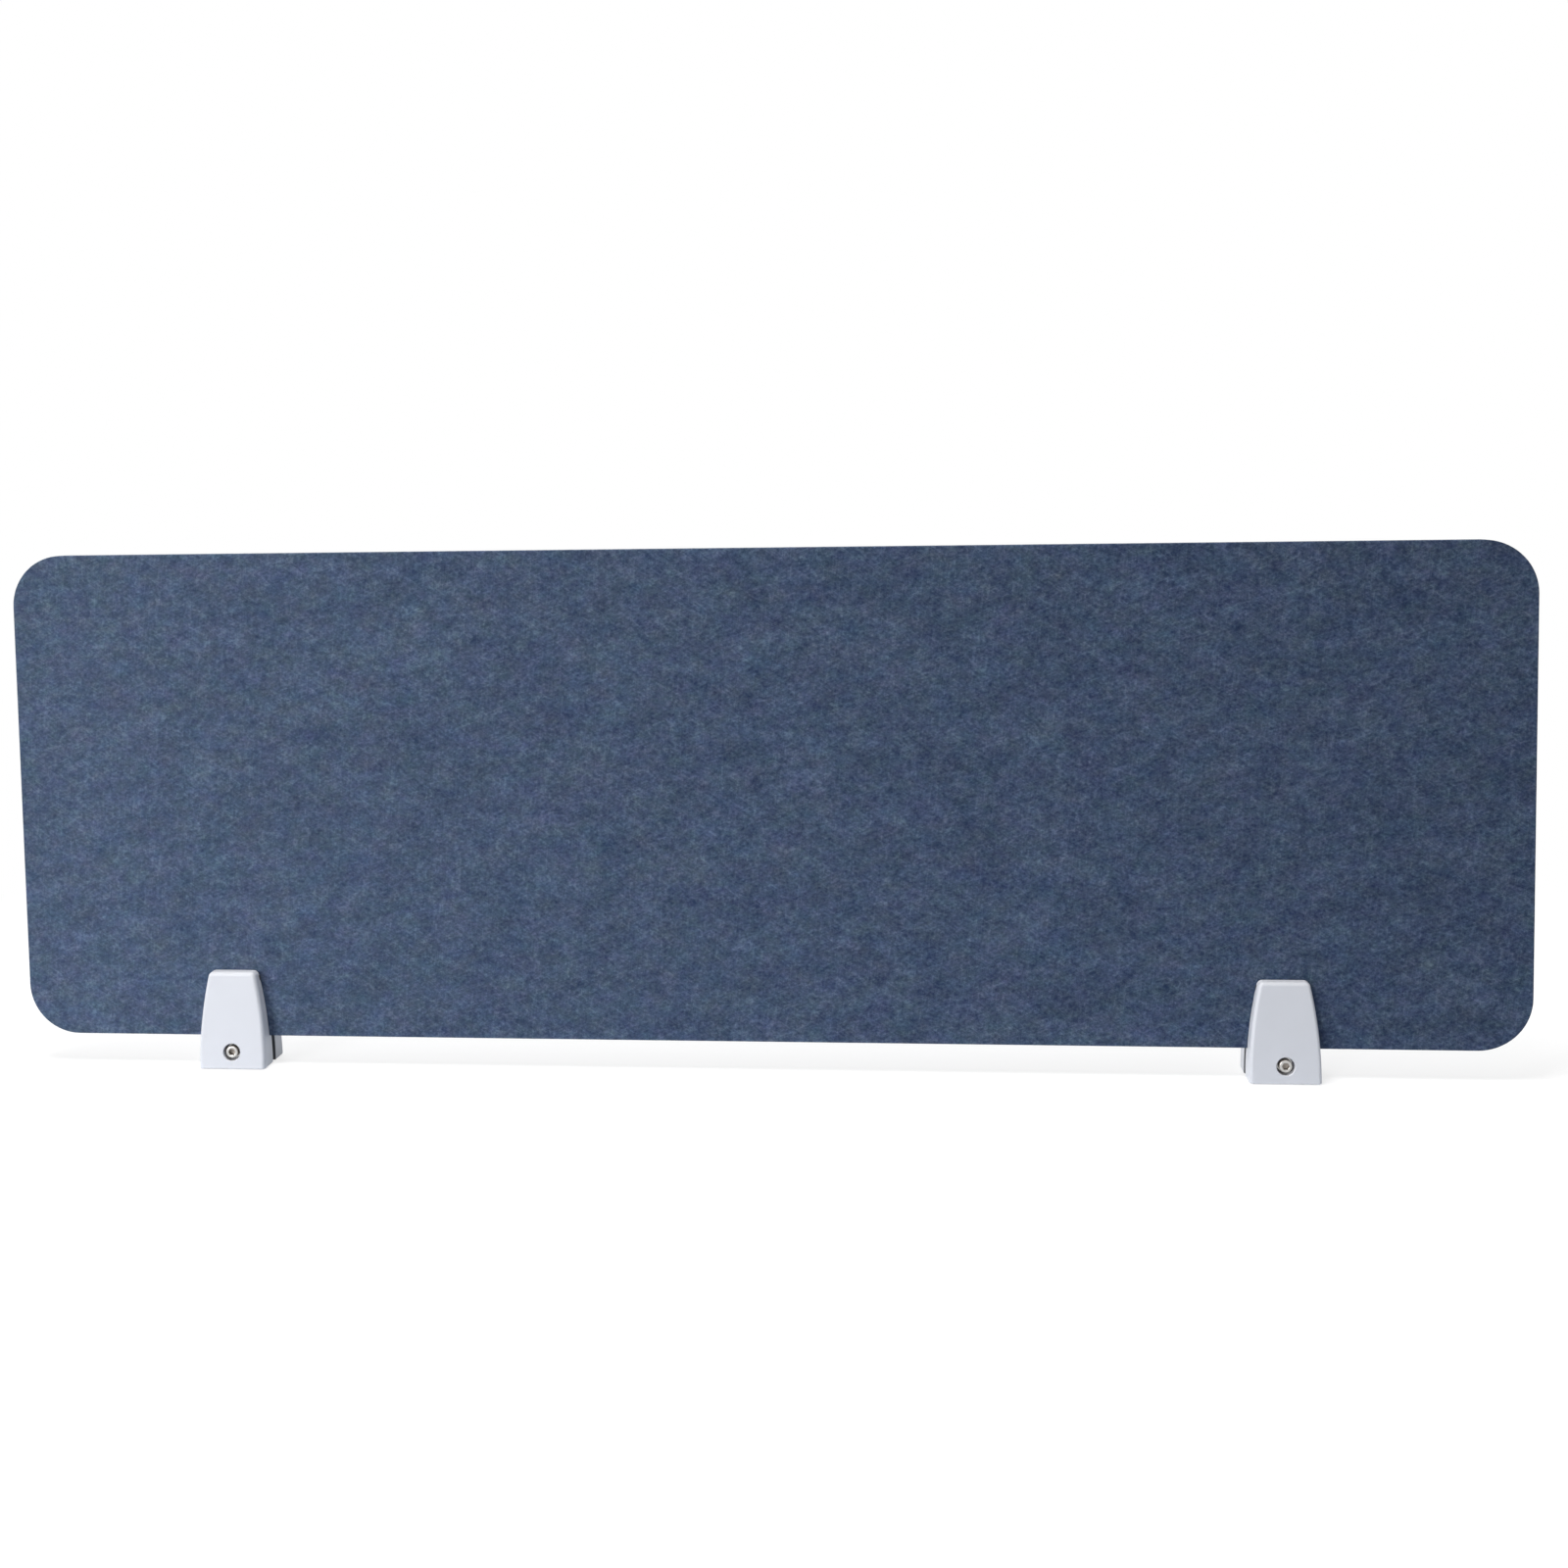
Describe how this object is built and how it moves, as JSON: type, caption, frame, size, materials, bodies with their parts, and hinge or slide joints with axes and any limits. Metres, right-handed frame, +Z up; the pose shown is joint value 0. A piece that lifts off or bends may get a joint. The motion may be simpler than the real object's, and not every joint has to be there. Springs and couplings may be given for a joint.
{
  "type": "acoustic divider screen",
  "caption": "Desk-top acoustic divider: a flat felt board with rounded corners, held upright on its long edge by screw clamps that stand on the desk.",
  "frame": {"origin": "on the desk, under the middle of the board's length and thickness", "axes": "+X along the board, -Y to the front, where the screw heads are, +Z up"},
  "size_m": [1.22, 0.0386, 0.424],
  "materials": {
    "felt": "matte",
    "jaws": "satin",
    "pads": "matte",
    "fasteners": "satin"
  },
  "bodies": {
    "board": {"felt_panel": "felt"},
    "left_clamp_rear": {"left_rear_jaw": "jaws", "left_rear_grip_pad": "pads", "left_rear_foot_pad": "pads", "left_hex_nut": "fasteners", "left_outer_guide_pin": "fasteners", "left_inner_guide_pin": "fasteners"},
    "left_clamp_front": {"left_front_jaw": "jaws", "left_front_grip_pad": "pads", "left_front_foot_pad": "pads", "left_screw_washer": "fasteners"},
    "left_screw": {"left_clamp_screw": "fasteners"},
    "right_clamp_rear": {"right_rear_jaw": "jaws", "right_rear_grip_pad": "pads", "right_rear_foot_pad": "pads", "right_hex_nut": "fasteners", "right_outer_guide_pin": "fasteners", "right_inner_guide_pin": "fasteners"},
    "right_clamp_front": {"right_front_jaw": "jaws", "right_front_grip_pad": "pads", "right_front_foot_pad": "pads", "right_screw_washer": "fasteners"},
    "right_screw": {"right_clamp_screw": "fasteners"}
  },
  "joints": [
    {"name": "left_clamp_slide", "type": "slide", "parent": "board", "child": "left_clamp_rear", "axis": [1, 0, 0], "range_m": [-0.105, 0.38]},
    {"name": "left_jaw_open", "type": "slide", "parent": "left_clamp_rear", "child": "left_clamp_front", "axis": [0, -1, 0], "range_m": [0, 0.005]},
    {"name": "left_screw_turn", "type": "hinge", "parent": "left_clamp_front", "child": "left_screw", "pos_m": [-0.4316, 0, 0.0142], "axis": [0, -1, 0], "range_deg": [0, 1800]},
    {"name": "right_clamp_slide", "type": "slide", "parent": "board", "child": "right_clamp_rear", "axis": [1, 0, 0], "range_m": [-0.368, 0.118]},
    {"name": "right_jaw_open", "type": "slide", "parent": "right_clamp_rear", "child": "right_clamp_front", "axis": [0, -1, 0], "range_m": [0, 0.005]},
    {"name": "right_screw_turn", "type": "hinge", "parent": "right_clamp_front", "child": "right_screw", "pos_m": [0.4183, 0, 0.0142], "axis": [0, -1, 0], "range_deg": [0, 1800]}
  ],
  "couplings": [
    {"joint": "left_screw_turn", "follows": "left_jaw_open", "rad_per_m": 6283.2},
    {"joint": "right_screw_turn", "follows": "right_jaw_open", "rad_per_m": 6283.2}
  ]
}
